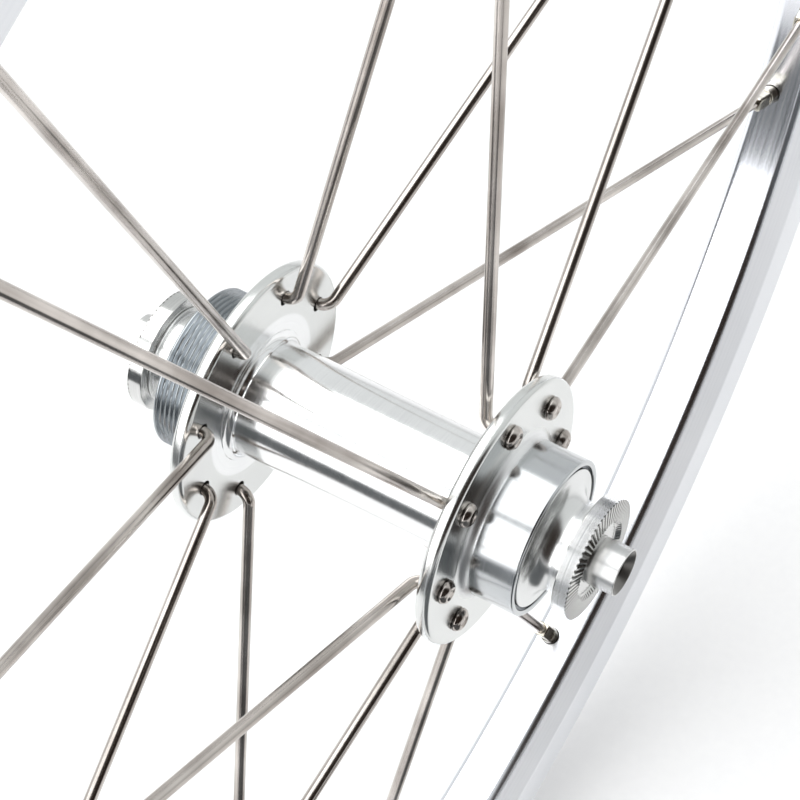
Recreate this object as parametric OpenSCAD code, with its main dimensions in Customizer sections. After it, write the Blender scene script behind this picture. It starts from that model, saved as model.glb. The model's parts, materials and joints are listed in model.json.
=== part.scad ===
// Spoked bicycle wheel with a hollow-axle hub for a quick-release skewer.
// Units are millimetres. The wheel spins about Y and its centre is the origin.
// -Y is the plain hub end, +Y is the threaded hub end and +Z is up.

/* [View] */
// Piece to show

/* [Wheel] */
// Spoke pairs around the wheel
pair_count = 8; // [4:1:12]
// Angle of the first spoke pair from +X towards +Z
first_pair_deg = 30; // [0:0.5:45]
// Angle between the two spokes of a pair at the hub
pair_hub_deg = 22.5; // [10:0.5:40]
// Angle between the two spokes of a pair at the rim
pair_rim_deg = 7.4; // [3:0.1:20]

/* [Rim] */
// Radius of the spoke bed, facing the hub
rim_bed_r = 189.5; // [150:0.5:260]
// Radius of the outer edge
rim_outer_r = 208.5; // [165:0.5:280]
// Radius that the tyre's beads sit on
rim_seat_r = 203; // [160:0.5:275]
// Overall width
rim_width = 20; // [16:0.5:30]
// Width of the flat spoke bed
rim_bed_width = 10.6; // [6:0.1:16]
// Sideways offset of each spoke hole from the middle
rim_stagger = 1.5; // [0:0.1:3]
// Diameter of the valve hole
valve_hole_d = 6.5; // [6:0.1:9]

/* [Hub] */
// Distance over the outer faces of the locknuts
over_locknuts = 93; // [70:0.5:140]
// Overall length of the axle
axle_length = 102.6; // [80:0.1:160]
// Overall length of the hub shell
shell_length = 75; // [55:0.5:120]
// Diameter of the spoke flanges
flange_d = 52; // [38:0.5:80]
// Thickness of the spoke flanges
flange_t = 2.8; // [2:0.1:4]
// Distance between the inner faces of the flanges
flange_gap = 48.4; // [30:0.1:80]
// Diameter of the circle of spoke holes
hole_circle_d = 40.6; // [28:0.1:70]
// Diameter of the spoke holes
hole_d = 2.8; // [2.2:0.1:3.2]
// Diameter of the tube between the flanges
tube_d = 22.5; // [18:0.5:40]
// Diameter of the plain bearing barrel
barrel_d = 30.2; // [26:0.1:45]
// Outer diameter of the thread on the far barrel
thread_d = 31.6; // [28:0.1:45]
// Pitch of that thread
thread_pitch = 1; // [0.75:0.05:1.5]

/* [Axle] */
// Diameter of the axle ends
axle_end_d = 9; // [8:0.5:12]
// Diameter of the axle between the locknuts
axle_mid_d = 12; // [10:0.5:17]
// Diameter of the bore for the skewer
skewer_bore_d = 5.6; // [5.1:0.1:6.5]

/* [Spokes] */
// Diameter of a spoke
spoke_d = 2.3; // [1.8:0.05:2.6]
// Radius of the elbow, on the spoke's centre line
elbow_r = 2.6; // [1.5:0.1:4]
// Diameter of a spoke's head
head_d = 4.6; // [3.6:0.1:5.2]
// Diameter of the round part of a nipple
nipple_d = 4.2; // [3.8:0.1:4.6]
// Overall length of a nipple
nipple_length = 12; // [10:0.5:16]

/* [Hidden] */
$fn = 96;
eps = 0.02;
slip = 0.03;
lap = 0.1;
cut = 1;
pair_step = 360 / pair_count;
up_deg = 90;

flange_in = flange_gap / 2;
flange_out = flange_in + flange_t;
flange_r = flange_d / 2;
shell_end = shell_length / 2;
barrel_r = barrel_d / 2;
tube_r = tube_d / 2;
thread_r = thread_d / 2;
thread_root_r = thread_r - 0.6 * thread_pitch;
thread_turns = 8;
thread_over = 0.2;
root_fillet = 1.75;
barrel_fillet = 2;
flange_edge_r = 1;
mouth_chamfer = 0.4;
core_r = 9.5;

bearing_od = 28;
bearing_id = axle_mid_d;
bearing_w = 8;
bearing_in = 27.8;
bearing_mid = bearing_in + bearing_w / 2;
bearing_out = bearing_in + bearing_w;
ball_count = 8;
ball_d = 4.76;
ball_pitch_r = 10.1;
ball_play = 0.06;
inner_ring_r = 8.7;
outer_ring_r = 11.5;
seal_t = 0.5;
seal_gap = 0.2;
seal_ledge_r = 12.1;
seal_lip_gap = 0.15;
spacer_r = 7.6;
cage_w = 6;
cage_in_r = 9.3;
cage_out_r = 10.9;

cap_disc_r = 13.4;
cap_neck_r = 8.6;
cap_lip_r = 9.5;
cap_disc_in = 36.2;
cap_disc_out = 37.4;
cap_flare_r = 3.6;
cap_boss_r = inner_ring_r - 0.4;
cap_lip_t = 0.5;
nut_t = 3.4;
nut_r = 11.6;
nut_in = over_locknuts / 2 - nut_t;
nut_out = over_locknuts / 2;
nut_teeth = 60;
nut_tooth_depth = 0.3;
nut_edge = 0.5;
nut_dish_r = 7.8;
nut_dish_depth = 0.9;
nut_dish_slope = 0.8;
groove_over = 0.6;

axle_end = axle_length / 2;
axle_step = nut_in - 0.4;
bore_chamfer = 1.4;
end_chamfer = 0.15;
step_chamfer = 0.4;

hole_circle_r = hole_circle_d / 2;
spoke_shift = (hole_d - spoke_d) / 2 - slip;
spoke_r_at_hub = hole_circle_r + spoke_shift;
head_t = 1.5;
rim_wall = 1.6;
rim_side_wall = 1.5;
rim_bevel_r = rim_bed_r + 5.2;
rim_corner = 0.5;
bevel_rise = 0.7;
bevel_edge = 0.3;
bed_edge = 0.8;
bed_edge_rise = 0.35;
rim_half = rim_width / 2;
bed_half = rim_bed_width / 2;
well_r = rim_seat_r - 3;
well_half = 4.6;
well_slope = 1;
well_wall = 1.4;
hook_t = 0.7;
hook_h = 1.4;
nipple_head_d = 6.2;
nipple_head_t = 2.4;
nipple_seat_r = rim_bed_r + rim_wall;
nipple_square = 3.4;
nipple_square_l = 5;
nipple_slot = 1;
hole_play = 0.4;
seat_play = 0.5;
hole_depth = 8;
sleeve_deg = 14;
sleeve_gap = 0.12;
sleeve_wall = 1.5;

// Straight line from a spoke's elbow to its hole in the rim, in the frame of its hub hole.
rim_turn = (pair_hub_deg - pair_rim_deg) / 2;
seat_r = nipple_seat_r + nipple_head_t;
target_x = seat_r * cos(rim_turn) - spoke_r_at_hub;
target_z = -seat_r * sin(rim_turn);
pull_deg = atan2(target_z, target_x);
pull_x = sqrt(target_x * target_x + target_z * target_z);
pull_y = flange_in - rim_stagger;
reach = sqrt(pow(pull_x - elbow_r, 2) + pow(pull_y, 2));
elbow_deg = acos(-elbow_r / reach) - atan2(pull_y, pull_x - elbow_r);
shank_length = sqrt(reach * reach - elbow_r * elbow_r);

// Turns its children from +X towards +Z about the wheel's axis.
module turned(deg) {
  rotate([0, -deg, 0])
    children();
}

// Lays a solid of revolution along +Y.
module along_y() {
  rotate([-90, 0, 0])
    children();
}

// The far end, or its mirror image for the near end.
module side(far) {
  if (far) children();
  else mirror([0, 1, 0]) children();
}

// Plain tube along Y between two distances from the middle.
module tube_y(outer, inner, from, to) {
  along_y()
    translate([0, 0, from])
      difference() {
        cylinder(h = to - from, r = outer);
        translate([0, 0, -cut])
          cylinder(h = to - from + 2 * cut, r = inner);
      }
}

// ---- Axle, locknuts, caps and spacer ----

module axle() {
  color("silver")
    along_y()
      rotate_extrude()
        polygon([
          [skewer_bore_d / 2, -axle_end + bore_chamfer],
          [skewer_bore_d / 2 + bore_chamfer, -axle_end],
          [axle_end_d / 2 - end_chamfer, -axle_end],
          [axle_end_d / 2, -axle_end + end_chamfer],
          [axle_end_d / 2, -axle_step],
          [axle_mid_d / 2 - step_chamfer, -axle_step],
          [axle_mid_d / 2, -axle_step + step_chamfer],
          [axle_mid_d / 2, axle_step - step_chamfer],
          [axle_mid_d / 2 - step_chamfer, axle_step],
          [axle_end_d / 2, axle_step],
          [axle_end_d / 2, axle_end - end_chamfer],
          [axle_end_d / 2 - end_chamfer, axle_end],
          [skewer_bore_d / 2 + bore_chamfer, axle_end],
          [skewer_bore_d / 2, axle_end - bore_chamfer]
        ]);
}

// One V-shaped groove of the locknut's gripping face, along +X.
module nut_groove() {
  translate([nut_dish_r - groove_over, nut_out + eps, 0])
    rotate([0, 90, 0])
      linear_extrude(height = nut_r - nut_dish_r + 2 * groove_over)
        polygon([
          [-nut_tooth_depth - eps, 0],
          [nut_tooth_depth + eps, 0],
          [0, -nut_tooth_depth - eps]
        ]);
}

module locknut(far) {
  color("silver")
    side(far)
      difference() {
        along_y()
          rotate_extrude()
            polygon([
              [axle_end_d / 2 + slip, nut_in],
              [nut_r - nut_edge, nut_in],
              [nut_r, nut_in + nut_edge],
              [nut_r, nut_out - nut_edge],
              [nut_r - nut_edge, nut_out],
              [nut_dish_r, nut_out],
              [nut_dish_r - nut_dish_slope, nut_out - nut_dish_depth],
              [axle_end_d / 2 + slip, nut_out - nut_dish_depth]
            ]);
        for (i = [0 : nut_teeth - 1])
          turned(i * 360 / nut_teeth)
            nut_groove();
      }
}

// Bearing cap: a dished disc in the barrel's mouth, a neck and a thin lip under the locknut.
module cap(far) {
  color("gainsboro")
    side(far)
      along_y()
        rotate_extrude()
          difference() {
            polygon([
              [axle_mid_d / 2 + slip, bearing_out + slip],
              [cap_boss_r, bearing_out + slip],
              [cap_boss_r, cap_disc_in],
              [cap_disc_r, cap_disc_in],
              [cap_disc_r, cap_disc_out],
              [cap_neck_r + cap_flare_r, cap_disc_out],
              [cap_neck_r + cap_flare_r, cap_disc_out + cap_flare_r],
              [cap_neck_r, cap_disc_out + cap_flare_r],
              [cap_neck_r, nut_in - slip - cap_lip_t],
              [cap_lip_r, nut_in - slip - cap_lip_t],
              [cap_lip_r, nut_in - slip],
              [axle_mid_d / 2 + slip, nut_in - slip]
            ]);
            translate([cap_neck_r + cap_flare_r, cap_disc_out + cap_flare_r])
              circle(r = cap_flare_r);
          }
}

module spacer_sleeve() {
  color("silver")
    tube_y(spacer_r, axle_mid_d / 2 + slip, -bearing_in + slip, bearing_in - slip);
}

// ---- Bearings ----

// Ball groove shared by both rings.
module race(far) {
  side(far)
    translate([0, bearing_mid, 0])
      along_y()
        rotate_extrude()
          translate([ball_pitch_r, 0])
            circle(d = ball_d + 2 * ball_play);
}

module inner_ring(far) {
  color("lightsteelblue")
    difference() {
      side(far)
        tube_y(inner_ring_r, bearing_id / 2 + slip, bearing_in, bearing_out);
      race(far);
    }
}

module outer_ring(far) {
  color("lightsteelblue")
    difference() {
      side(far)
        tube_y(bearing_od / 2 - slip, outer_ring_r, bearing_in, bearing_out);
      race(far);
      side(far)
        tube_y(seal_ledge_r, outer_ring_r - cut, bearing_out - seal_t - seal_gap, bearing_out + cut);
      side(far)
        tube_y(seal_ledge_r, outer_ring_r - cut, bearing_in - cut, bearing_in + seal_t + seal_gap);
    }
}

module balls(far) {
  color("gray")
    side(far)
      for (i = [0 : ball_count - 1])
        turned(i * 360 / ball_count)
          translate([ball_pitch_r, bearing_mid, 0])
            sphere(d = ball_d);
}

module cage(far) {
  color("goldenrod")
    side(far)
      difference() {
        tube_y(cage_out_r, cage_in_r, bearing_mid - cage_w / 2, bearing_mid + cage_w / 2);
        for (i = [0 : ball_count - 1])
          turned(i * 360 / ball_count)
            translate([cage_in_r - cut, bearing_mid, 0])
              rotate([0, 90, 0])
                cylinder(h = cage_out_r - cage_in_r + 2 * cut, d = ball_d + 2 * ball_play);
      }
}

module seal(far, from) {
  color("dimgray")
    side(far)
      tube_y(seal_ledge_r - slip, inner_ring_r + seal_lip_gap, from, from + seal_t);
}

module seal_in(far) {
  seal(far, bearing_in + seal_gap - slip);
}

module seal_out(far) {
  seal(far, bearing_out - seal_gap - seal_t + slip);
}

// ---- Hub shell ----

// Half of the shell's outside, from the middle out to one end.
module shell_half(end_r) {
  difference() {
    polygon([
      [0, 0],
      [tube_r, 0],
      [tube_r, flange_in - root_fillet],
      [tube_r + root_fillet, flange_in - root_fillet],
      [tube_r + root_fillet, flange_in],
      [flange_r, flange_in],
      [flange_r, flange_out],
      [end_r + barrel_fillet, flange_out],
      [end_r + barrel_fillet, flange_out + barrel_fillet],
      [end_r, flange_out + barrel_fillet],
      [end_r, shell_end - mouth_chamfer],
      [end_r - mouth_chamfer, shell_end],
      [0, shell_end]
    ]);
    translate([tube_r + root_fillet, flange_in - root_fillet])
      circle(r = root_fillet);
    translate([end_r + barrel_fillet, flange_out + barrel_fillet])
      circle(r = barrel_fillet);
    flange_edge();
  }
}

// Rounds off the two corners of a flange's edge.
module flange_edge() {
  edge = flange_edge_r;
  for (corner = [[flange_in, 1], [flange_out, -1]])
    difference() {
      translate([flange_r - edge, corner[0] - (corner[1] > 0 ? cut : edge)])
        square([edge + cut, edge + cut]);
      translate([flange_r - edge, corner[0] + corner[1] * edge])
        circle(r = edge);
    }
}

// Ring grooves that stand for the thread's turns.
module thread_grooves() {
  for (i = [0 : thread_turns - 1])
    along_y()
      rotate_extrude()
        translate([thread_r, shell_end - (i + 1) * thread_pitch])
          polygon([
            [thread_over, -thread_pitch / 2],
            [thread_over, thread_pitch / 2],
            [thread_root_r - thread_r, 0]
          ]);
}

module spoke_holes(far) {
  for (k = [0 : pair_count - 1])
    turned(first_pair_deg + k * pair_step + (far ? -1 : 1) * pair_hub_deg / 2)
      side(far)
        along_y()
          translate([hole_circle_r, 0, flange_in - cut])
            cylinder(h = flange_t + 2 * cut, d = hole_d, $fn = 32);
}

module hub_shell() {
  color("whitesmoke")
    difference() {
      union() {
        along_y()
          rotate_extrude()
            shell_half(thread_r);
        mirror([0, 1, 0])
          along_y()
            rotate_extrude()
              shell_half(barrel_r);
      }
      thread_grooves();
      tube_y(core_r, 0, -shell_end - cut, shell_end + cut);
      tube_y(bearing_od / 2, 0, bearing_in - slip, shell_end + cut);
      tube_y(bearing_od / 2, 0, -shell_end - cut, -bearing_in + slip);
      spoke_holes(true);
      spoke_holes(false);
    }
}

// ---- Spokes and nipples ----

// Puts its children in the frame of one spoke's hub hole: +X outwards and -Y towards the head.
module at_hole(far, k) {
  turned(first_pair_deg + (k - 1) * pair_step)
    rotate([far ? 180 : 0, 0, 0])
      turned(pair_hub_deg / 2)
        children();
}

// Puts its children at the end of the elbow, with +Z along the shank.
module along_shank() {
  translate([spoke_r_at_hub, -flange_in, 0])
    turned(pull_deg)
      translate([elbow_r * (1 - cos(elbow_deg)), elbow_r * sin(elbow_deg), 0])
        rotate([0, 0, -elbow_deg])
          rotate([-90, 0, 0])
            children();
}

module spoke(far, k) {
  color("lightgray")
    at_hole(far, k) {
      translate([spoke_r_at_hub, -flange_in, 0])
        turned(pull_deg) {
          translate([0, -flange_t - slip, 0])
            spoke_head();
          rotate([90, 0, 0])
            translate([0, 0, -lap])
              cylinder(h = flange_t + head_t / 3 + lap, d = spoke_d, $fn = 32);
          translate([elbow_r, 0, 0])
            rotate([0, 0, 180 - elbow_deg])
              rotate_extrude(angle = elbow_deg)
                translate([elbow_r, 0])
                  circle(d = spoke_d - eps, $fn = 32);
        }
      along_shank()
        translate([0, 0, -lap])
          cylinder(h = shank_length - nipple_slot + lap, d = spoke_d, $fn = 32);
    }
}

// Low dome whose flat side is at Y = 0.
module spoke_head() {
  dome_r = (head_t * head_t + head_d * head_d / 4) / (2 * head_t);
  intersection() {
    translate([0, dome_r - head_t, 0])
      sphere(r = dome_r, $fn = 48);
    translate([-head_d, -head_d, -head_d])
      cube([2 * head_d, head_d, 2 * head_d]);
  }
}

// Lies along the shank with its head outwards and its square end towards the hub.
module nipple(far, k) {
  body_l = nipple_length - nipple_head_t;
  color("khaki")
    at_hole(far, k)
      along_shank()
        translate([0, 0, shank_length - nipple_length])
          difference() {
            union() {
              translate([0, 0, nipple_square_l])
                cylinder(h = body_l - nipple_square_l, d = nipple_d, $fn = 48);
              intersection() {
                translate([-nipple_square / 2, -nipple_square / 2, 0])
                  cube([nipple_square, nipple_square, nipple_square_l]);
                cylinder(h = nipple_square_l, d = nipple_d, $fn = 48);
              }
              translate([0, 0, body_l])
                cylinder(h = nipple_head_t, d = nipple_head_d, $fn = 48);
            }
            translate([0, 0, -cut])
              cylinder(h = nipple_length + 2 * cut, d = spoke_d + 2 * slip, $fn = 32);
            translate([-nipple_head_d, -nipple_slot / 2, nipple_length - nipple_slot])
              cube([2 * nipple_head_d, nipple_slot, 2 * nipple_slot]);
          }
}

// ---- Rim ----

// Cross-section of the rim: radius across, width up.
module rim_outside() {
  polygon([
    [rim_bed_r, -bed_half + bed_edge],
    [rim_bed_r + bed_edge_rise, -bed_half],
    [rim_bevel_r, -rim_half + bevel_edge],
    [rim_bevel_r + bevel_rise, -rim_half],
    [rim_outer_r - rim_corner, -rim_half],
    [rim_outer_r, -rim_half + rim_corner],
    [rim_outer_r, rim_half - rim_corner],
    [rim_outer_r - rim_corner, rim_half],
    [rim_bevel_r + bevel_rise, rim_half],
    [rim_bevel_r, rim_half - bevel_edge],
    [rim_bed_r + bed_edge_rise, bed_half],
    [rim_bed_r, bed_half - bed_edge]
  ]);
}

module rim_channel() {
  seat_half = rim_half - rim_side_wall;
  polygon([
    [well_r, -well_half],
    [rim_seat_r, -well_half - well_slope],
    [rim_seat_r, -seat_half],
    [rim_outer_r - hook_h, -seat_half],
    [rim_outer_r - hook_h, -seat_half + hook_t],
    [rim_outer_r + cut, -seat_half + hook_t],
    [rim_outer_r + cut, seat_half - hook_t],
    [rim_outer_r - hook_h, seat_half - hook_t],
    [rim_outer_r - hook_h, seat_half],
    [rim_seat_r, seat_half],
    [rim_seat_r, well_half + well_slope],
    [well_r, well_half]
  ]);
}

module rim_cavity(gap) {
  inner = rim_bed_r + rim_wall + gap;
  outer = well_r - well_wall - gap;
  low_half = bed_half - bed_edge - gap;
  high_half = rim_half - rim_side_wall - gap;
  polygon([
    [inner, -low_half],
    [rim_bevel_r + bevel_rise, -high_half],
    [outer, -high_half],
    [outer, high_half],
    [rim_bevel_r + bevel_rise, high_half],
    [inner, low_half]
  ]);
}

// Drilled along the spoke, with a flat for the nipple's head.
module nipple_hole(far, k) {
  at_hole(far, k)
    along_shank()
      translate([0, 0, shank_length - nipple_head_t - eps]) {
        translate([0, 0, -hole_depth])
          cylinder(h = hole_depth + cut, d = nipple_d + hole_play, $fn = 48);
        cylinder(h = nipple_head_t + seat_play, d = nipple_head_d + seat_play, $fn = 48);
      }
}

module valve_hole() {
  turned(up_deg)
    translate([rim_bed_r - cut, 0, 0])
      rotate([0, 90, 0])
        cylinder(h = rim_outer_r - rim_bed_r, d = valve_hole_d, $fn = 64);
}

module rim() {
  color("silver")
    difference() {
      along_y()
        rotate_extrude($fn = 180)
          difference() {
            rim_outside();
            rim_channel();
            rim_cavity(0);
          }
      for (k = [1 : pair_count]) {
        nipple_hole(false, k);
        nipple_hole(true, k);
      }
      valve_hole();
    }
}

// Pushed into both ends of the rim's section where they meet, opposite the valve hole.
module rim_joint_sleeve() {
  color("darkgray")
    turned(up_deg + 180 + sleeve_deg / 2)
      along_y()
        rotate_extrude(angle = sleeve_deg, $fn = 180)
          difference() {
            rim_cavity(sleeve_gap);
            rim_cavity(sleeve_wall);
          }
}

axle();
locknut(false);  // locknut_near
locknut(true);  // locknut_far
cap(false);  // cap_near
cap(true);  // cap_far
spacer_sleeve();
hub_shell();
inner_ring(false);  // inner_ring_near
inner_ring(true);  // inner_ring_far
outer_ring(false);  // outer_ring_near
outer_ring(true);  // outer_ring_far
balls(false);  // balls_near
balls(true);  // balls_far
cage(false);  // cage_near
cage(true);  // cage_far
seal_in(false);  // seal_in_near
seal_out(false);  // seal_out_near
seal_in(true);  // seal_in_far
seal_out(true);  // seal_out_far
rim();
rim_joint_sleeve();
spoke(false, 1);  // spoke_near_1
spoke(false, 2);  // spoke_near_2
spoke(false, 3);  // spoke_near_3
spoke(false, 4);  // spoke_near_4
spoke(false, 5);  // spoke_near_5
spoke(false, 6);  // spoke_near_6
spoke(false, 7);  // spoke_near_7
spoke(false, 8);  // spoke_near_8
spoke(true, 1);  // spoke_far_1
spoke(true, 2);  // spoke_far_2
spoke(true, 3);  // spoke_far_3
spoke(true, 4);  // spoke_far_4
spoke(true, 5);  // spoke_far_5
spoke(true, 6);  // spoke_far_6
spoke(true, 7);  // spoke_far_7
spoke(true, 8);  // spoke_far_8
nipple(false, 1);  // nipple_near_1
nipple(false, 2);  // nipple_near_2
nipple(false, 3);  // nipple_near_3
nipple(false, 4);  // nipple_near_4
nipple(false, 5);  // nipple_near_5
nipple(false, 6);  // nipple_near_6
nipple(false, 7);  // nipple_near_7
nipple(false, 8);  // nipple_near_8
nipple(true, 1);  // nipple_far_1
nipple(true, 2);  // nipple_far_2
nipple(true, 3);  // nipple_far_3
nipple(true, 4);  // nipple_far_4
nipple(true, 5);  // nipple_far_5
nipple(true, 6);  // nipple_far_6
nipple(true, 7);  // nipple_far_7
nipple(true, 8);  // nipple_far_8
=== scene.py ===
import json
import math

import bpy
from mathutils import Matrix, Vector

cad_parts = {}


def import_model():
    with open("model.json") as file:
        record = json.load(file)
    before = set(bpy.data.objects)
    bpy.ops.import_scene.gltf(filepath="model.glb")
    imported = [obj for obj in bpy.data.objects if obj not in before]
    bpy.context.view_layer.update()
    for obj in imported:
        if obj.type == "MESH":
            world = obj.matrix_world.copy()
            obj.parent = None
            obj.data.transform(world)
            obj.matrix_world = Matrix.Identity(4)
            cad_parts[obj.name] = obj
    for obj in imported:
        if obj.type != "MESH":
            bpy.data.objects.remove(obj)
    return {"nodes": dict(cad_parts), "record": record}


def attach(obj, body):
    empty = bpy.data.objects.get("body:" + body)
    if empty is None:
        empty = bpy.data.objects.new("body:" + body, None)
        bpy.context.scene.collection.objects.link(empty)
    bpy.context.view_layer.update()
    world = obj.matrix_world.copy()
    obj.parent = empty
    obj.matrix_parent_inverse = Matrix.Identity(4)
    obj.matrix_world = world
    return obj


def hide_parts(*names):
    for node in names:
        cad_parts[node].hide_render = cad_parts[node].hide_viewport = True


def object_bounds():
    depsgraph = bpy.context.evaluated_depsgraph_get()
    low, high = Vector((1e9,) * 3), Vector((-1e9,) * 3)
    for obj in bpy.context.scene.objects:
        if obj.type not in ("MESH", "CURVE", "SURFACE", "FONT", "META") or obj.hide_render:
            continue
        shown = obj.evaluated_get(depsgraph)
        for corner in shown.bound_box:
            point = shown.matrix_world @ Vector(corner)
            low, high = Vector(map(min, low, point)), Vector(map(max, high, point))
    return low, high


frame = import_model()
cad_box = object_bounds()

# Millimetres and degrees, as in the CAD source; MM turns them into metres.
MM = 0.001
SLIP = 0.03

PAIRS = 8
FIRST_PAIR = 30.0
PAIR_HUB = 22.5
PAIR_RIM = 7.4

FLANGE_IN = 24.2
FLANGE_OUT = 27.0
FLANGE_R = 26.0
HOLE_CIRCLE_R = 20.3
HOLE_R = 1.4
HOLE_BREAK = 0.1
TUBE_R = 11.25
BARREL_R = 15.1
ROOT_FILLET = 1.75
THREAD_R = 15.8
THREAD_DEPTH = 0.6
THREAD_PITCH = 1.0
SHELL_END = 37.5
CORE_R = 9.5
BEARING_R = 14.0
BEARING_IN = 27.8
BEARING_OUT = 35.8

AXLE_END = 51.3
AXLE_END_R = 4.5
AXLE_MID_R = 6.0
AXLE_STEP = 42.7
BORE_R = 2.8
BORE_CHAMFER = 1.4

CAP_DISC_R = 13.4
CAP_DISC_IN = 36.2
CAP_DISC_OUT = 37.4
CAP_BOSS_R = 8.3
CAP_NECK_R = 8.6
CAP_FLARE = 3.6
CAP_LIP_R = 9.5
CAP_LIP_T = 0.5
NUT_IN = 43.1
NUT_OUT = 46.5
NUT_R = 11.6
NUT_DISH_R = 7.8
NUT_DISH_DEPTH = 0.9
NUT_TEETH = 64
NUT_TOOTH_DEPTH = 0.14
NUT_FACE_DROP = 0.35
NUT_GROOVE_Y = 45.8
NUT_EDGE = 0.08

SPOKE_R = 1.15
ELBOW_R = 2.6
ELBOW_STEPS = 18
SPOKE_TIP_GAP = 1.0
NIPPLE_R = 2.1
NIPPLE_LENGTH = 12.0
NIPPLE_HEAD_R = 3.1
NIPPLE_HEAD_T = 2.4
NIPPLE_FLAT = 1.7
NIPPLE_SQUARE_L = 5.0
NIPPLE_BEVEL = 0.25

BED_R = 189.5
BED_HALF = 5.3
BEVEL_R = 194.7
RIM_HALF = 10.0
RIM_OUTER_R = 208.5
SEAT_R = 203.0
SEAT_HALF = 8.5
WELL_R = 200.0
WELL_HALF = 4.6
RIM_WALL = 1.6
SIDE_WALL = 1.5
WELL_WALL = 1.4
HOOK_REACH = 0.7
HOOK_DEPTH = 1.4
RIM_STAGGER = 1.5
VALVE_R = 3.25

AROUND = 192
RIM_AROUND = 480


# ---- Where the spokes run ----

def turned(deg):
    """Turns +X towards +Z."""
    return Matrix.Rotation(-math.radians(deg), 4, "Y")


def spoke_values():
    """Worked out as in the CAD: the wire's distance from the axis in the flange, the angle of its pull
    in degrees, the angle of its elbow in radians and the length of its shank."""
    hub_r = HOLE_CIRCLE_R + HOLE_R - SPOKE_R - SLIP
    rim_turn = math.radians((PAIR_HUB - PAIR_RIM) / 2)
    seat = BED_R + RIM_WALL + NIPPLE_HEAD_T
    x = seat * math.cos(rim_turn) - hub_r
    z = -seat * math.sin(rim_turn)
    pull_x, pull_y = math.hypot(x, z), FLANGE_IN - RIM_STAGGER
    reach = math.hypot(pull_x - ELBOW_R, pull_y)
    elbow = math.acos(-ELBOW_R / reach) - math.atan2(pull_y, pull_x - ELBOW_R)
    return hub_r, math.degrees(math.atan2(z, x)), elbow, math.sqrt(reach ** 2 - ELBOW_R ** 2)


HUB_R, PULL, ELBOW, SHANK = spoke_values()


def hub_hole(far, k):
    """The frame of one hub hole: +X outwards and -Y towards the spoke's head."""
    flip = Matrix.Rotation(math.pi if far else 0.0, 4, "X")
    return turned(FIRST_PAIR + (k - 1) * 360 / PAIRS) @ flip @ turned(PAIR_HUB / 2)


def elbow_frame(far, k):
    """Where the wire leaves the flange, with +X in the plane of its elbow."""
    return hub_hole(far, k) @ Matrix.Translation(Vector((HUB_R, -FLANGE_IN, 0))) @ turned(PULL)


def elbow_at(angle):
    """Centre, outer side and direction of the wire, part of the way round its elbow."""
    c, s = math.cos(angle), math.sin(angle)
    return Vector((ELBOW_R * (1 - c), ELBOW_R * s, 0)), Vector((c, -s, 0)), Vector((s, c, 0))


def shank_frame(far, k):
    """Starts where the elbow ends, with +Z along the shank."""
    bend = Matrix.Rotation(-ELBOW, 4, "Z") @ Matrix.Rotation(-math.pi / 2, 4, "X")
    return elbow_frame(far, k) @ Matrix.Translation(elbow_at(ELBOW)[0]) @ bend


# ---- Mesh building ----

def rounded(points, steps=4):
    """A closed profile from (radius, y, fillet) corners, with each fillet drawn as an arc."""
    out = []
    count = len(points)
    for i, (r, y, fillet) in enumerate(points):
        here = Vector((r, y))
        if fillet <= 0:
            out.append(here)
            continue
        back = (Vector(points[i - 1][:2]) - here).normalized()
        ahead = (Vector(points[(i + 1) % count][:2]) - here).normalized()
        half = back.angle(ahead) / 2
        centre = here + (back + ahead).normalized() * (fillet / math.sin(half))
        start = here + back * (fillet / math.tan(half)) - centre
        sweep = math.pi - 2 * half
        sign = 1 if start.y * back.x - start.x * back.y > 0 else -1
        for s in range(steps + 1):
            a = sign * sweep * s / steps
            out.append(centre + Vector((start.x * math.cos(a) - start.y * math.sin(a),
                                        start.x * math.sin(a) + start.y * math.cos(a))))
    return out


def area(loop):
    """Positive when the loop runs anticlockwise, with the radius across and y up."""
    return sum(a.x * b.y - b.x * a.y for a, b in zip(loop, loop[1:] + loop[:1])) / 2


def lathe_mesh(name, loops, around, warp=None):
    """Turns closed profiles about Y. The first is the outside and the rest are cavities."""
    verts, faces = [], []
    for number, loop in enumerate(loops):
        if (area(loop) < 0) == (number == 0):
            loop = loop[::-1]
        first, size = len(verts), len(loop)
        for j in range(around):
            angle = 2 * math.pi * j / around
            for p in loop:
                r, y = warp(p.x, p.y, angle) if warp else (p.x, p.y)
                verts.append((r * math.cos(angle) * MM, y * MM, r * math.sin(angle) * MM))
        for j in range(around):
            for i in range(size):
                a, b = first + j * size, first + (j + 1) % around * size
                n = (i + 1) % size
                faces.append((a + i, a + n, b + n, b + i))
    mesh = bpy.data.meshes.new(name)
    mesh.from_pydata(verts, [], faces)
    return mesh


def add(name, mesh, matrix=None):
    """Links a mesh as an object, its shape already in place."""
    if matrix is not None:
        mesh.transform(matrix)
    mesh.update()
    obj = bpy.data.objects.new(name, mesh)
    bpy.context.scene.collection.objects.link(obj)
    return obj


def metres(matrix):
    """The same placement with its distances in metres."""
    out = matrix.copy()
    out.translation = matrix.translation * MM
    return out


def smooth(obj, angle=32.0):
    """Smooth shading with hard edges, and normals that keep flat faces flat."""
    mesh = obj.data
    mesh.polygons.foreach_set("use_smooth", [True] * len(mesh.polygons))
    mesh.set_sharp_from_angle(angle=math.radians(angle))
    weighted = obj.modifiers.new("normals", "WEIGHTED_NORMAL")
    weighted.keep_sharp = True


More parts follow.
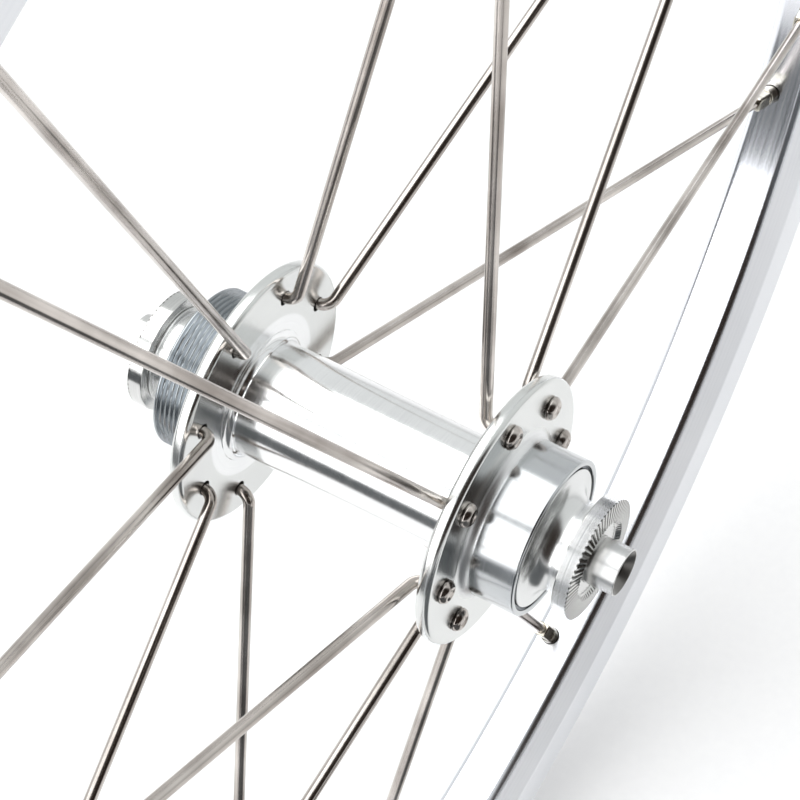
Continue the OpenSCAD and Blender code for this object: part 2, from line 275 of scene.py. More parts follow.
def cut(obj, mesh, slot):
    """Takes a mesh away from an object. The walls it leaves get the second material, a dark metal that
    paints shade inside the holes.
    """
    for data in (obj.data, mesh):
        data.materials.append(MATERIALS[slot])
        data.materials.append(MATERIALS["hole_wall_shade"])
    mesh.polygons.foreach_set("material_index", [1] * len(mesh.polygons))
    tool = add("cutter", mesh)
    boolean = obj.modifiers.new("cut", "BOOLEAN")
    boolean.operation = "DIFFERENCE"
    boolean.solver = "EXACT"
    boolean.object = tool
    graph = bpy.context.evaluated_depsgraph_get()
    result = bpy.data.meshes.new_from_object(obj.evaluated_get(graph))
    obj.modifiers.clear()
    obj.data = result
    bpy.data.objects.remove(tool)


def rod_mesh(name, rods, around=32):
    """Closed turned rods, each a placement and a list of (radius, distance along +Z)."""
    verts, faces = [], []
    for matrix, profile in rods:
        first = len(verts)
        for r, z in profile:
            for j in range(around):
                a = 2 * math.pi * j / around
                verts.append(matrix @ Vector((r * math.cos(a), r * math.sin(a), z)) * MM)
        for i in range(len(profile) - 1):
            for j in range(around):
                a, b, n = first + i * around, first + (i + 1) * around, (j + 1) % around
                faces.append((a + j, a + n, b + n, b + j))
        last = first + (len(profile) - 1) * around
        faces.append(tuple(first + j for j in reversed(range(around))))
        faces.append(tuple(last + j for j in range(around)))
    mesh = bpy.data.meshes.new(name)
    mesh.from_pydata(verts, [], faces)
    return mesh


# ---- Materials ----

class Nodes:
    """A short way to build a material's nodes."""

    def __init__(self, name):
        self.material = bpy.data.materials.new(name)
        self.material.use_nodes = True
        self.tree = self.material.node_tree
        self.shader = self.tree.nodes["Principled BSDF"]

    def new(self, kind, **values):
        node = self.tree.nodes.new(kind)
        for key, value in values.items():
            setattr(node, key, value)
        return node

    def link(self, source, target):
        self.tree.links.new(source, target)

    def math(self, operation, a, b=None):
        node = self.new("ShaderNodeMath", operation=operation)
        for socket, value in zip(node.inputs, (a, b)):
            if value is None:
                continue
            if isinstance(value, (int, float)):
                socket.default_value = value
            else:
                self.link(value, socket)
        return node.outputs[0]

    def noise(self, vector, scale, detail=2.0):
        node = self.new("ShaderNodeTexNoise")
        node.inputs["Scale"].default_value = scale
        node.inputs["Detail"].default_value = detail
        self.link(vector, node.inputs["Vector"])
        return node.outputs["Fac"]

    def ramp(self, value, low, high, out_low, out_high):
        node = self.new("ShaderNodeMapRange")
        limits = {"From Min": low, "From Max": high, "To Min": out_low, "To Max": out_high}
        for key, number in limits.items():
            node.inputs[key].default_value = number
        self.link(value, node.inputs["Value"])
        return node.outputs["Result"]

    def blend(self, factor, a, b):
        node = self.new("ShaderNodeMix", data_type="RGBA")
        node.inputs["A"].default_value = (*a, 1)
        node.inputs["B"].default_value = (*b, 1)
        self.link(factor, node.inputs["Factor"])
        return node.outputs["Result"]

    def tinted(self, factor, colour, tint):
        """The colour, multiplied by the tint where the factor is 1."""
        node = self.new("ShaderNodeMix", data_type="RGBA", blend_type="MULTIPLY")
        node.inputs["B"].default_value = (*tint, 1)
        self.link(factor, node.inputs["Factor"])
        self.link(colour, node.inputs["A"])
        return node.outputs["Result"]

    def split(self, vector):
        node = self.new("ShaderNodeSeparateXYZ")
        self.link(vector, node.inputs[0])
        return node.outputs

    def bump(self, height, strength, distance):
        node = self.new("ShaderNodeBump")
        node.inputs["Strength"].default_value = strength
        node.inputs["Distance"].default_value = distance
        self.link(height, node.inputs["Height"])
        self.link(node.outputs["Normal"], self.shader.inputs["Normal"])


def turned_coords(n):
    """(distance from the axle's axis, distance along it, 0): equal all round a turned part."""
    coords = n.new("ShaderNodeTexCoord").outputs["Object"]
    split = n.split(coords)
    flat = n.new("ShaderNodeCombineXYZ")
    n.link(split["X"], flat.inputs["X"])
    n.link(split["Z"], flat.inputs["Y"])
    length = n.new("ShaderNodeVectorMath", operation="LENGTH")
    n.link(flat.outputs[0], length.inputs[0])
    out = n.new("ShaderNodeCombineXYZ")
    n.link(length.outputs["Value"], out.inputs["X"])
    n.link(split["Y"], out.inputs["Y"])
    return coords, out.outputs[0]


def drawn_coords(n):
    """The same for wire: the mesh carries its own unbent coordinates in "flow"."""
    coords = n.new("ShaderNodeTexCoord").outputs["Object"]
    flow = n.new("ShaderNodeAttribute", attribute_name="flow")
    return coords, flow.outputs["Vector"]


def zone_mask(n, flow, axis, start, full):
    """Rises from 0 at start to 1 at full. Both ends of the axle count, unless the axis has a "+"."""
    along = n.split(flow)[axis[-1]]
    if not axis.startswith("+"):
        along = n.math("ABSOLUTE", along)
    return n.ramp(along, start * MM, full * MM, 0.0, 1.0)


def groove_shade(n, spot, flow, count, colour):
    """Paints shade into the bottoms of the radial grooves in a nut's outer face."""
    split = n.split(spot)
    turn = n.math("MULTIPLY", n.math("ARCTAN2", split["Z"], split["X"]), count / (2 * math.pi))
    vee = n.math("ABSOLUTE", n.math("SUBTRACT", n.math("MULTIPLY", n.math("FRACT", turn), 2.0), 1.0))
    face = zone_mask(n, flow, "Y", NUT_GROOVE_Y, NUT_GROOVE_Y + 0.05)
    return n.tinted(n.math("MULTIPLY", face, n.ramp(vee, 0.35, 0.8, 0.0, 1.0)), colour, GROOVE_SHADE)


def metal(name, light, dark, rough, lines, bump, coords=turned_coords, patches=90.0, line_rough=0.5,
          zones=(), grooves=0):
    """Bare metal: fine machining lines and slow changes of tone, in colour, gloss and bump.
    Each zone has another finish: (axis, where it starts, where it is full, extra roughness, tint) and,
    where it is duller than bare metal, how metallic it is. In some zones the darkening tint is painted
    shade, and in a thread a painted dark reflection. The axis is "X" for the distance from the axle
    or "Y" for the distance along it. grooves is the number of radial grooves in a nut's face whose bottoms
    get painted shade."""
    n = Nodes(name)
    spot, flow = coords(n)
    patch = n.noise(spot, patches, 3.0)
    line = n.noise(flow, lines, 1.0)
    tone = n.math("ADD", n.math("MULTIPLY", patch, 0.6), n.math("MULTIPLY", line, 0.4))
    colour = n.blend(n.ramp(tone, 0.35, 0.65, 0.0, 1.0), dark, light)
    worn = n.math("ADD", n.math("MULTIPLY", patch, 1 - line_rough), n.math("MULTIPLY", line, line_rough))
    gloss = n.ramp(worn, 0.3, 0.7, rough[0], rough[1])
    for axis, start, full, extra, tint, *dull in zones:
        inside = zone_mask(n, flow, axis, start, full)
        gloss = n.math("ADD", gloss, n.math("MULTIPLY", inside, extra))
        colour = n.tinted(inside, colour, tint)
        if dull:
            n.link(n.ramp(inside, 0.0, 1.0, 1.0, dull[0]), n.shader.inputs["Metallic"])
    # Painted shade in the bottoms of the face's grooves.
    if grooves:
        colour = groove_shade(n, spot, flow, grooves, colour)
    n.shader.inputs["Metallic"].default_value = 1.0
    n.link(colour, n.shader.inputs["Base Color"])
    n.link(gloss, n.shader.inputs["Roughness"])
    n.bump(line, bump, 0.00002)
    return n.material


def rubber(name):
    """Dark moulded rubber with a fine grain."""
    n = Nodes(name)
    spot, flow = turned_coords(n)
    speck = n.noise(spot, 900.0, 4.0)
    n.link(n.blend(speck, (0.012, 0.012, 0.013), (0.035, 0.034, 0.033)), n.shader.inputs["Base Color"])
    n.link(n.ramp(speck, 0.3, 0.7, 0.5, 0.75), n.shader.inputs["Roughness"])
    n.bump(n.noise(flow, 2500.0), 0.3, 0.00005)
    return n.material


# Painted shade for the bottoms of the grooves in a nut's outer face.
GROOVE_SHADE = (0.22, 0.21, 0.20)
# Each metal: name, lightest and darkest colour, least and most roughness, line scale, bump strength.
MATERIALS = {
    "hub_alloy": metal("hub_alloy", (0.92, 0.925, 0.925), (0.85, 0.855, 0.86), (0.12, 0.18), 2600.0, 0.06,
                       zones=(("X", 16.0, 16.5, 0.06, (0.85, 0.855, 0.84)),
                              ("Y", 27.02, 27.3, 0.22, (0.98, 0.98, 0.98)),
                              # The barrels are tinted darker than the flanges: painted shade.
                              ("Y", 28.4, 29.2, -0.20, (0.66, 0.675, 0.685)),
                              # The threaded far barrel is tinted darker still: painted dark reflection in
                              # the thread.
                              ("+Y", 29.3, 29.8, 0.04, (0.66, 0.68, 0.70)))),
    "cap_alloy": metal("cap_alloy", (0.80, 0.805, 0.80), (0.72, 0.725, 0.72), (0.18, 0.27), 3200.0, 0.10),
    # The zone darkens the bore and its end chamfer: painted shade in the hollow.
    "axle_alloy": metal("axle_alloy", (0.78, 0.78, 0.77), (0.66, 0.66, 0.65), (0.18, 0.28), 4200.0, 0.20,
                        zones=(("X", 4.4, 4.2, 0.1, (0.30, 0.29, 0.28)),)),
    "locknut_steel": metal("locknut_steel", (0.72, 0.72, 0.71), (0.58, 0.58, 0.57), (0.11, 0.17), 3000.0,
                           0.10, grooves=NUT_TEETH),
    "rim_alloy": metal("rim_alloy", (0.88, 0.89, 0.93), (0.80, 0.815, 0.86), (0.13, 0.2), 1500.0, 0.08,
                       patches=30.0, zones=(("Y", 5.5, 6.4, 0.28, (0.98, 0.98, 0.965), 0.42),)),
    "spoke_steel": metal("spoke_steel", (0.72, 0.67, 0.63), (0.30, 0.265, 0.24), (0.14, 0.24), 1100.0, 0.25,
                         coords=drawn_coords, patches=60.0, line_rough=0.7),
    "nipple_brass": metal("nipple_brass", (0.68, 0.65, 0.58), (0.50, 0.47, 0.40), (0.14, 0.30), 1500.0,
                          0.25, coords=drawn_coords, patches=400.0),
    "bearing_steel": metal("bearing_steel", (0.72, 0.73, 0.75), (0.60, 0.61, 0.63), (0.08, 0.16), 3500.0,
                           0.1),
    "cage_brass": metal("cage_brass", (0.74, 0.58, 0.28), (0.60, 0.45, 0.20), (0.2, 0.35), 1800.0, 0.2),
    "seal_rubber": rubber("seal_rubber"),
    # Painted shade: a dark metal for the walls of the holes cut in the hub's flanges and the rim.
    "hole_wall_shade": metal("hole_wall_shade", (0.20, 0.19, 0.18), (0.10, 0.095, 0.09), (0.3, 0.5), 2600.0, 0.3),
}


def paint(obj, slot):
    """Leaves an object with its slot's material and no other."""
    obj.data.materials.clear()
    obj.data.materials.append(MATERIALS[slot])


def place(obj, body, slot, *nodes):
    """Rides on a body, takes a slot's material and stands for the CAD nodes."""
    if not obj.data.materials:
        paint(obj, slot)
    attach(obj, body)
    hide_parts(*nodes)


# ---- Hub shell ----

def mirrored(points):
    """The same corners at the other end, in the order that continues the outline."""
    return [(r, -y, fillet) for r, y, fillet in reversed(points)]


def shell_side(end_r):
    """Outside of one end, from the tube out to the mouth."""
    return [
        (TUBE_R, FLANGE_IN - ROOT_FILLET, 0),
        *root_points(),
        (FLANGE_R, FLANGE_IN, 1.0),
        (FLANGE_R, FLANGE_OUT, 1.0),
        (end_r, FLANGE_OUT, 2.0),
        (end_r, SHELL_END, 0.4),
    ]


def root_points(steps=10):
    """The hollow between the tube and the flange, which ends in a small crease."""
    return [(TUBE_R + ROOT_FILLET * (1 - math.cos(math.pi / 2 * i / steps)),
             FLANGE_IN - ROOT_FILLET + (ROOT_FILLET - 0.12) * math.sin(math.pi / 2 * i / steps), 0)
            for i in range(1, steps + 1)] + [(TUBE_R + ROOT_FILLET + 0.12, FLANGE_IN, 0)]


def bore_side():
    """Inside of one end, from the mouth past the bearing to the core."""
    return [
        (BEARING_R, SHELL_END, 0.35),
        (BEARING_R, BEARING_IN, 0.15),
        (CORE_R, BEARING_IN, 0.2),
    ]


THREAD_FROM = FLANGE_OUT + 2.6
THREAD_TO = SHELL_END - 0.5
THREAD_STEPS = 110


def thread_points():
    """Closely spaced points for the screw thread to be shaped from."""
    return [(THREAD_R, THREAD_FROM + (THREAD_TO - THREAD_FROM) * i / THREAD_STEPS, 0)
            for i in range(THREAD_STEPS + 1)]


def screw(r, y, angle):
    """Cuts a V thread into the far barrel, running out at both ends."""
    if y < THREAD_FROM or y > THREAD_TO or r < THREAD_R - 0.01:
        return r, y
    turn = (y / THREAD_PITCH + angle / (2 * math.pi)) % 1.0
    vee = abs(2 * turn - 1)
    fade = min(1.0, (y - THREAD_FROM) / 0.5, (THREAD_TO - y) / 0.4)
    return r - THREAD_DEPTH * fade * min(1.0, max(0.0, 1.15 * vee - 0.05)), y


def hub_shell():
    far = shell_side(THREAD_R)
    far[-1:-1] = thread_points()
    near = shell_side(BARREL_R)
    outline = mirrored(near) + far + bore_side() + mirrored(bore_side())
    obj = add("hub_body", lathe_mesh("hub_body", [rounded(outline)], AROUND, screw))
    thick = FLANGE_OUT - FLANGE_IN
    entry = [(HOLE_R + HOLE_BREAK + 1.0, -1.0), (HOLE_R + HOLE_BREAK, 0.0), (HOLE_R, HOLE_BREAK)]
    drill = entry + [(r, thick - z) for r, z in reversed(entry)]
    holes = []
    for far_end in (False, True):
        for k in range(1, PAIRS + 1):
            start = Matrix.Translation(Vector((HOLE_CIRCLE_R, -FLANGE_IN, 0)))
            holes.append((hub_hole(far_end, k) @ start @ Matrix.Rotation(math.pi / 2, 4, "X"), drill))
    cut(obj, rod_mesh("holes", holes, 48), "hub_alloy")
    smooth(obj)
    place(obj, "wheel", "hub_alloy", "hub_shell")


# ---- Axle, caps and locknuts ----

def axle():
    half = [
        (AXLE_MID_R, AXLE_STEP, 0.35),
        (AXLE_END_R, AXLE_STEP, 0.1),
        (AXLE_END_R, AXLE_END, 0.12),
        (BORE_R + BORE_CHAMFER, AXLE_END, 0.05),
        (BORE_R, AXLE_END - BORE_CHAMFER, 0.2),
    ]
    outline = [*half, *mirrored(half)]
    obj = add("axle_tube", lathe_mesh("axle_tube", [rounded(outline)], AROUND))
    smooth(obj)
    place(obj, "axle_assembly", "axle_alloy", "axle")


def flare_points(steps=14):
    """The cap's hollow sweep from its disc up to its neck."""
    top = CAP_DISC_OUT + CAP_FLARE
    return [(CAP_NECK_R + CAP_FLARE * (1 - math.cos(math.pi / 2 * i / steps)),
             top - CAP_FLARE * math.sin(math.pi / 2 * i / steps), 0)
            for i in range(steps, -1, -1)]


def cap(sign, name, node):
    outline = [
        (AXLE_MID_R + SLIP, BEARING_OUT + SLIP, 0.1),
        (CAP_BOSS_R, BEARING_OUT + SLIP, 0.1),
        (CAP_BOSS_R, CAP_DISC_IN, 0.05),
        (CAP_DISC_R, CAP_DISC_IN, 0.25),
        (CAP_DISC_R, CAP_DISC_OUT, 0.25),
        *flare_points(),
        (CAP_NECK_R, NUT_IN - SLIP - CAP_LIP_T, 0.05),
        (CAP_LIP_R, NUT_IN - SLIP - CAP_LIP_T, 0.15),
        (CAP_LIP_R, NUT_IN - SLIP, 0.15),
        (AXLE_MID_R + SLIP, NUT_IN - SLIP, 0.1),
    ]
    outline = [(r, sign * y, fillet) for r, y, fillet in outline]
    obj = add(name, lathe_mesh(name, [rounded(outline)], AROUND))
    smooth(obj)
    place(obj, "axle_assembly", "cap_alloy", node)


def nut_body(sign, name, node):
    """A round nut whose outer face slopes a little and carries radial gripping teeth."""
    teeth_from, teeth_to, rows = NUT_DISH_R, NUT_R - NUT_EDGE, 12
    rim_y = NUT_OUT - NUT_FACE_DROP
    face = [(teeth_to + (teeth_from - teeth_to) * i / rows, rim_y + NUT_FACE_DROP * i / rows, 0)
            for i in range(rows + 1)]
    outline = [
        (AXLE_END_R + SLIP, NUT_IN, 0.1),
        (NUT_R, NUT_IN, 0.25),
        (NUT_R, rim_y - NUT_EDGE, 0.02),
        *face,
        (NUT_DISH_R - 0.8, NUT_OUT - NUT_DISH_DEPTH, 0.15),
        (AXLE_END_R + SLIP, NUT_OUT - NUT_DISH_DEPTH, 0.1),
    ]
    outline = [(r, sign * y, fillet) for r, y, fillet in outline]

    def teeth(r, y, angle):
        if abs(y) < rim_y - 0.001 or r > teeth_to + 0.01 or r < teeth_from - 0.01:
            return r, y
        vee = abs(2 * (NUT_TEETH * angle / (2 * math.pi) % 1.0) - 1)
        return r, y - sign * NUT_TOOTH_DEPTH * vee

    obj = add(name, lathe_mesh(name, [rounded(outline)], 6 * NUT_TEETH, teeth))
    smooth(obj, 14.0)
    place(obj, "axle_assembly", "locknut_steel", node)


# ---- Spokes and nipples ----

def head_profile():
    """A button head as (radius, height) from the crown down: a shallow ring pressed into the crown, and
    a rounded edge."""
    return [(0.0, 1.32), (0.55, 1.32), (0.8, 1.2), (1.0, 1.2), (1.2, 1.42), (1.35, 1.5), (1.6, 1.42),
            (1.95, 1.1), (2.2, 0.7), (2.29, 0.35), (2.25, 0.12), (2.1, 0.0), (1.3, 0.0)]


def ring(centre, across, side, radius, along, around):
    """One ring of points and their unbent coordinates."""
    points, flow = [], []
    for j in range(around):
        a = 2 * math.pi * j / around
        c, s = math.cos(a) * radius, math.sin(a) * radius
        points.append((centre + across * c + side * s) * MM)
        flow.append((c * MM, s * MM, along * MM * 0.02))
    return points, flow


def skin(name, rings, around):
    """Joins rings into one closed surface."""
    verts = [p for points, flow in rings for p in points]
    flow = [f for points, flows in rings for f in flows]
    faces = [tuple(reversed(range(around)))]
    for i in range(len(rings) - 1):
        for j in range(around):
            a, b, n = i * around, (i + 1) * around, (j + 1) % around
            faces.append((a + j, a + n, b + n, b + j))
    last = (len(rings) - 1) * around
    faces.append(tuple(last + j for j in range(around)))
    mesh = bpy.data.meshes.new(name)
    mesh.from_pydata(verts, [], faces)
    layer = mesh.attributes.new("flow", "FLOAT_VECTOR", "POINT")
    layer.data.foreach_set("vector", [x for f in flow for x in f])
    return mesh


def spoke_mesh(name, around=28):
    """Head, neck, elbow and shank in one piece, in the elbow's frame."""
    outwards, side = Vector((1, 0, 0)), Vector((0, 0, -1))
    thick = FLANGE_OUT - FLANGE_IN
    rings = []
    for r, t in head_profile():
        centre = Vector((0, -thick - SLIP - t, 0))
        rings.append(ring(centre, outwards, side, max(r, 0.02), -thick - t, around))
    for y in (-thick - SLIP + 0.05, -thick + 0.4, -0.05):
        rings.append(ring(Vector((0, y, 0)), outwards, side, SPOKE_R, y, around))
    for i in range(ELBOW_STEPS + 1):
        angle = ELBOW * i / ELBOW_STEPS
        centre, across, ahead = elbow_at(angle)
        rings.append(ring(centre, across, side, SPOKE_R, ELBOW_R * angle, around))
    for share in (0.02, 0.25, 0.5, 0.75, 1.0):
        along = (SHANK - SPOKE_TIP_GAP) * share
        rings.append(ring(centre + ahead * along, across, side, SPOKE_R, ELBOW_R * ELBOW + along, around))
    return skin(name, rings, around)


def nipple_mesh(name, around=48):
    """A square-ended nipple with a round body and a domed head, along +Z, bored for the spoke."""
    body = NIPPLE_LENGTH - NIPPLE_HEAD_T
    bore = SPOKE_R + SLIP
    outline = [
        (bore + 0.12, 0.0, False), (NIPPLE_FLAT + NIPPLE_BEVEL, 0.0, True),
        (NIPPLE_R + 0.2, NIPPLE_BEVEL, True), (NIPPLE_R + 0.2, NIPPLE_SQUARE_L - 0.1, True),
        (NIPPLE_R - 0.35, NIPPLE_SQUARE_L, False), (NIPPLE_R - 0.12, NIPPLE_SQUARE_L + 0.14, False),
        (NIPPLE_R, NIPPLE_SQUARE_L + 0.45, False), (NIPPLE_R, body - 0.1, False),
        (NIPPLE_R + 0.05, body, False), (NIPPLE_HEAD_R - 0.1, body, False),
        (NIPPLE_HEAD_R, body + 0.1, False), (NIPPLE_HEAD_R, body + 1.3, False),
        (NIPPLE_HEAD_R - 0.3, body + 1.9, False), (NIPPLE_HEAD_R - 0.9, NIPPLE_LENGTH - 0.1, False),
        (bore + 0.3, NIPPLE_LENGTH, False), (bore, NIPPLE_LENGTH - 0.3, False), (bore, 0.12, False),
    ]
    verts, faces, flow = [], [], []
    for r, z, square in outline:
        for j in range(around):
            a = 2 * math.pi * (j + 0.5) / around
            flat = NIPPLE_FLAT / max(abs(math.cos(a)), abs(math.sin(a)))
            radius = min(r, flat - max(0.0, NIPPLE_BEVEL - z), NIPPLE_R + 0.02) if square else r
            verts.append((radius * math.cos(a) * MM, radius * math.sin(a) * MM, z * MM))
            flow.append((radius * math.cos(a) * MM * 0.1, radius * math.sin(a) * MM * 0.1, z * MM))
    size = len(outline)
    for i in range(size):
        for j in range(around):
            a, b, n = i * around, (i + 1) % size * around, (j + 1) % around
            faces.append((a + j, a + n, b + n, b + j))
    mesh = bpy.data.meshes.new(name)
    mesh.from_pydata(verts, [], faces)
    layer = mesh.attributes.new("flow", "FLOAT_VECTOR", "POINT")
    layer.data.foreach_set("vector", [x for f in flow for x in f])
    return mesh


def spokes():
    for far in (False, True):
        end = "far" if far else "near"
        for k in range(1, PAIRS + 1):
            obj = add(f"wire_{end}_{k}", spoke_mesh(f"wire_{end}_{k}"), metres(elbow_frame(far, k)))
            smooth(obj, 50.0)
            place(obj, "wheel", "spoke_steel", f"spoke_{end}_{k}")
            start = shank_frame(far, k) @ Matrix.Translation(Vector((0, 0, SHANK - NIPPLE_LENGTH)))
            obj = add(f"collar_{end}_{k}", nipple_mesh(f"collar_{end}_{k}"), metres(start))
            smooth(obj)
            place(obj, "wheel", "nipple_brass", f"nipple_{end}_{k}")


# ---- Rim ----

def rim():
    side = [
        (BED_R, BED_HALF, 3.0),
        (BEVEL_R, RIM_HALF, 1.2),
        (RIM_OUTER_R, RIM_HALF, 0.6),
        (RIM_OUTER_R, SEAT_HALF - HOOK_REACH, 0.3),
        (RIM_OUTER_R - HOOK_DEPTH, SEAT_HALF - HOOK_REACH, 0.2),
        (RIM_OUTER_R - HOOK_DEPTH, SEAT_HALF, 0.2),
        (SEAT_R, SEAT_HALF, 0.4),
        (SEAT_R, WELL_HALF + 1.0, 0.4),
        (WELL_R, WELL_HALF, 0.8),
    ]
    outline = rounded(side + mirrored(side), 8)
    inner, outer = BED_R + RIM_WALL, WELL_R - WELL_WALL
    low, high = BED_HALF - 0.8, RIM_HALF - SIDE_WALL
    hollow = [(inner, low, 0.4), (BEVEL_R + 0.7, high, 0.8), (outer, high, 0.4)]
    cavity = rounded(hollow + mirrored(hollow), 2)
    obj = add("rim_hoop", lathe_mesh("rim_hoop", [outline, cavity], RIM_AROUND))
    holes = []
    for far in (False, True):
        for k in range(1, PAIRS + 1):
            start = shank_frame(far, k) @ Matrix.Translation(Vector((0, 0, SHANK - NIPPLE_HEAD_T)))
            hole_r, seat_r = NIPPLE_R + 0.2, NIPPLE_HEAD_R + 0.25
            drill = [(hole_r, -8.0), (hole_r, 0.0), (seat_r, 0.0), (seat_r, NIPPLE_HEAD_T + 0.5)]
            holes.append((start, drill))
    up = turned(90.0) @ Matrix.Rotation(math.pi / 2, 4, "Y")
    holes.append((up @ Matrix.Translation(Vector((0, 0, BED_R - 1))), [(VALVE_R, 0.0), (VALVE_R, 20.0)]))
    cut(obj, rod_mesh("rim_holes", holes), "rim_alloy")
    smooth(obj)
    place(obj, "wheel", "rim_alloy", "rim")


# ---- CAD nodes that stay ----

def keep_cad():
    """Bearings, spacer and rim joint keep their CAD shapes and get their slots' materials."""
    for part in frame["record"]["subparts"]:
        obj = frame["nodes"][part["node"]]
        if obj.hide_render:
            continue
        paint(obj, part["material_slot"])


# ---- Studio, in metres and degrees ----

LOOK_AZ = -58.30
LOOK_EL = 51.19
LENS = 113.2
EYE = (-0.2331, -0.1495, 0.3586)

FLOOR_GLOW = 0.22
FILL_FROM = (0.35, -1.0, 0.75)
FILL_POWER = 8.0
FLAG_X = -0.33
FLAG_Y = (-0.5, 1.2)
FLAG_TOP = -0.055
# The corner of the lying board that is nearest the hub.
LYING_FLAG = (-0.02, -0.065)
# Name, middle and half angle in the XZ plane, and the ends along Y.
PANELS = (("top_panel", 90.0, 33.5, 0.0, 1.7), ("side_panel", 158.5, 28.0, -0.1, 1.5))
PANEL_POWER = 7.0
PANEL_DISTANCE = 1.15
FLOOR_HALF = 8.0
ROOM = (0.78, 0.80, 0.80, 1)
SHADE = (0.03, 0.022, 0.018, 1)
BACKDROP = (0.93, 0.93, 0.93, 1)
# Direction, inner and outer angle, and how much of the room's light is left inside.
DARK_PATCHES = (
    ((-0.50, -0.42, 0.76), 16.0, 34.0, 0.03),
    ((-0.55, -0.75, 0.28), 44.0, 62.0, 0.0),
)


def camera():
    """At the photo's viewpoint, without depth of field."""
    data = bpy.data.cameras.new("camera")
    data.lens = LENS
    data.sensor_width = 36
    data.clip_start = 0.01
    data.clip_end = 50
    az, el = math.radians(LOOK_AZ), math.radians(LOOK_EL)
    back = Vector((math.sin(az) * math.cos(el), -math.cos(az) * math.cos(el), math.sin(el)))
    obj = bpy.data.objects.new("camera", data)
    obj.location = EYE
    obj.rotation_mode = "QUATERNION"
    obj.rotation_quaternion = (-back).to_track_quat("-Z", "Y")
    bpy.context.scene.collection.objects.link(obj)
    bpy.context.scene.camera = obj


def floor():
    """A pale, faintly grained sheet under the wheel."""
    low = cad_box[0].z
    mesh = bpy.data.meshes.new("floor")
    corners = [(-FLOOR_HALF, -FLOOR_HALF), (FLOOR_HALF, -FLOOR_HALF), (FLOOR_HALF, FLOOR_HALF),
               (-FLOOR_HALF, FLOOR_HALF)]
    mesh.from_pydata([(x, y, low) for x, y in corners], [], [(0, 1, 2, 3)])
    obj = add("floor", mesh)
    n = Nodes("floor_paper")
    coords = n.new("ShaderNodeTexCoord").outputs["Object"]
    grain = n.noise(coords, 420.0, 4.0)
    n.link(n.blend(grain, (0.60, 0.60, 0.605), (0.64, 0.64, 0.64)), n.shader.inputs["Base Color"])
    n.shader.inputs["Roughness"].default_value = 0.8
    n.shader.inputs["Specular IOR Level"].default_value = 0.2
    n.shader.inputs["Emission Color"].default_value = (1, 1, 1, 1)
    n.shader.inputs["Emission Strength"].default_value = FLOOR_GLOW
    obj.data.materials.append(n.material)


def flag():
    """Dark boards on the -X side, one standing and one lying, seen only in reflections."""
    low = cad_box[0].z + 0.002
    first, last = FLAG_Y
    x, y = LYING_FLAG
    standing = [(FLAG_X, first, low), (FLAG_X, last, low),
                (FLAG_X, last, FLAG_TOP), (FLAG_X, first, FLAG_TOP)]
    lying = [(FLAG_X, first, low), (x, first, low), (x, y, low), (FLAG_X, y, low)]
    mesh = bpy.data.meshes.new("flag")
    mesh.from_pydata(standing + lying, [], [(0, 1, 2, 3), (4, 5, 6, 7)])
    obj = add("flag", mesh)
    n = Nodes("flag_board")
    grain = n.noise(n.new("ShaderNodeTexCoord").outputs["Object"], 60.0, 3.0)
    n.link(n.blend(grain, (0.06, 0.064, 0.068), (0.10, 0.105, 0.11)), n.shader.inputs["Base Color"])
    n.shader.inputs["Roughness"].default_value = 0.9
    obj.data.materials.append(n.material)
    obj.visible_camera = False
    obj.visible_diffuse = False
    obj.visible_shadow = False


def fill():
    """Lights dull surfaces from the -Y side without showing in the bare metal."""
    data = bpy.data.lights.new("fill", "AREA")
    data.size = 0.9
    data.energy = FILL_POWER
    obj = bpy.data.objects.new("fill", data)
    obj.location = FILL_FROM
    obj.rotation_mode = "QUATERNION"
    obj.rotation_quaternion = Vector(FILL_FROM).to_track_quat("Z", "Y")
    obj.visible_camera = False
    obj.visible_glossy = False
    bpy.context.scene.collection.objects.link(obj)


def softbox(name, angle, half_deg, y_low, y_high):
    """A hard-edged panel facing the axle, seen in the XZ plane from angle - half to angle + half."""
    data = bpy.data.lights.new(name, "AREA")
    data.shape = "RECTANGLE"
    data.size = 2 * PANEL_DISTANCE * math.tan(math.radians(half_deg))
    data.size_y = y_high - y_low
    data.energy = PANEL_POWER * data.size * data.size_y
    obj = bpy.data.objects.new(name, data)
    a = math.radians(angle)
    out = Vector((math.cos(a), 0, math.sin(a)))
    sideways = Vector((-math.sin(a), 0, math.cos(a)))
    basis = Matrix((sideways, Vector((0, 1, 0)), out)).transposed()
    if basis.determinant() < 0:
        basis = Matrix((-sideways, Vector((0, 1, 0)), out)).transposed()
    centre = out * PANEL_DISTANCE + Vector((0, (y_low + y_high) / 2, 0))
    obj.matrix_world = Matrix.Translation(centre) @ basis.to_4x4()
    obj.visible_camera = False
    bpy.context.scene.collection.objects.link(obj)


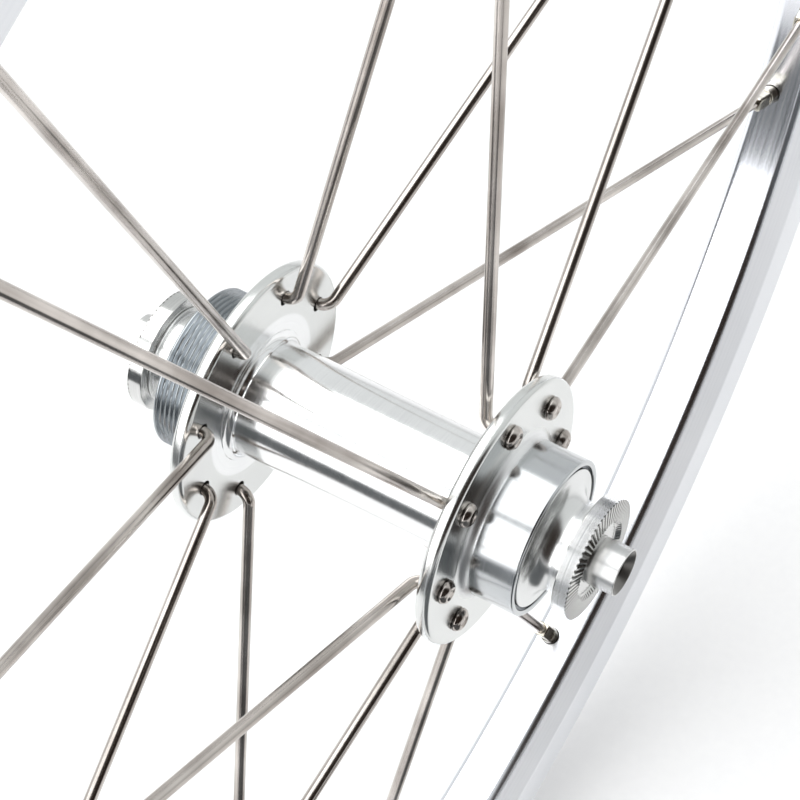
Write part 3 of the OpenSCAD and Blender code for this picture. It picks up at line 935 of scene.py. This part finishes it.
def dark_patch(tree, coords, direction, inner, outer, left):
    """Falls from 1 outside the patch to what is left of the light inside it."""
    dot = tree.nodes.new("ShaderNodeVectorMath")
    dot.operation = "DOT_PRODUCT"
    dot.inputs[1].default_value = Vector(direction).normalized()
    tree.links.new(coords, dot.inputs[0])
    fade = tree.nodes.new("ShaderNodeMapRange")
    fade.interpolation_type = "SMOOTHSTEP"
    fade.inputs["From Min"].default_value = math.cos(math.radians(outer))
    fade.inputs["From Max"].default_value = math.cos(math.radians(inner))
    fade.inputs["To Min"].default_value = 1.0
    fade.inputs["To Max"].default_value = left
    tree.links.new(dot.outputs["Value"], fade.inputs["Value"])
    return fade.outputs["Result"]


def world():
    """A pale room with dark patches where the photographer stands, and plain to the eye."""
    w = bpy.data.worlds.new("studio")
    w.use_nodes = True
    tree = w.node_tree
    tree.nodes.clear()
    coords = tree.nodes.new("ShaderNodeTexCoord").outputs["Generated"]
    patches = [dark_patch(tree, coords, *values) for values in DARK_PATCHES]
    level = tree.nodes.new("ShaderNodeMath")
    level.operation = "MULTIPLY"
    for patch, socket in zip(patches, level.inputs):
        tree.links.new(patch, socket)
    tone = tree.nodes.new("ShaderNodeMix")
    tone.data_type = "RGBA"
    tone.inputs["A"].default_value = SHADE
    tone.inputs["B"].default_value = ROOM
    tree.links.new(level.outputs[0], tone.inputs["Factor"])
    reflected = tree.nodes.new("ShaderNodeBackground")
    tree.links.new(tone.outputs["Result"], reflected.inputs["Color"])
    plain = tree.nodes.new("ShaderNodeBackground")
    plain.inputs["Color"].default_value = BACKDROP
    mix = tree.nodes.new("ShaderNodeMixShader")
    tree.links.new(tree.nodes.new("ShaderNodeLightPath").outputs["Is Camera Ray"], mix.inputs[0])
    tree.links.new(reflected.outputs[0], mix.inputs[1])
    tree.links.new(plain.outputs[0], mix.inputs[2])
    out = tree.nodes.new("ShaderNodeOutputWorld")
    tree.links.new(mix.outputs[0], out.inputs["Surface"])
    bpy.context.scene.world = w


def studio():
    camera()
    floor()
    flag()
    for values in PANELS:
        softbox(*values)
    fill()
    world()
    bpy.context.scene.view_settings.view_transform = "Standard"


hub_shell()
axle()
for sign, end in ((-1, "near"), (1, "far")):
    cap(sign, f"dust_cap_{end}", f"cap_{end}")
    nut_body(sign, f"axle_nut_{end}", f"locknut_{end}")
spokes()
rim()
keep_cad()
studio()
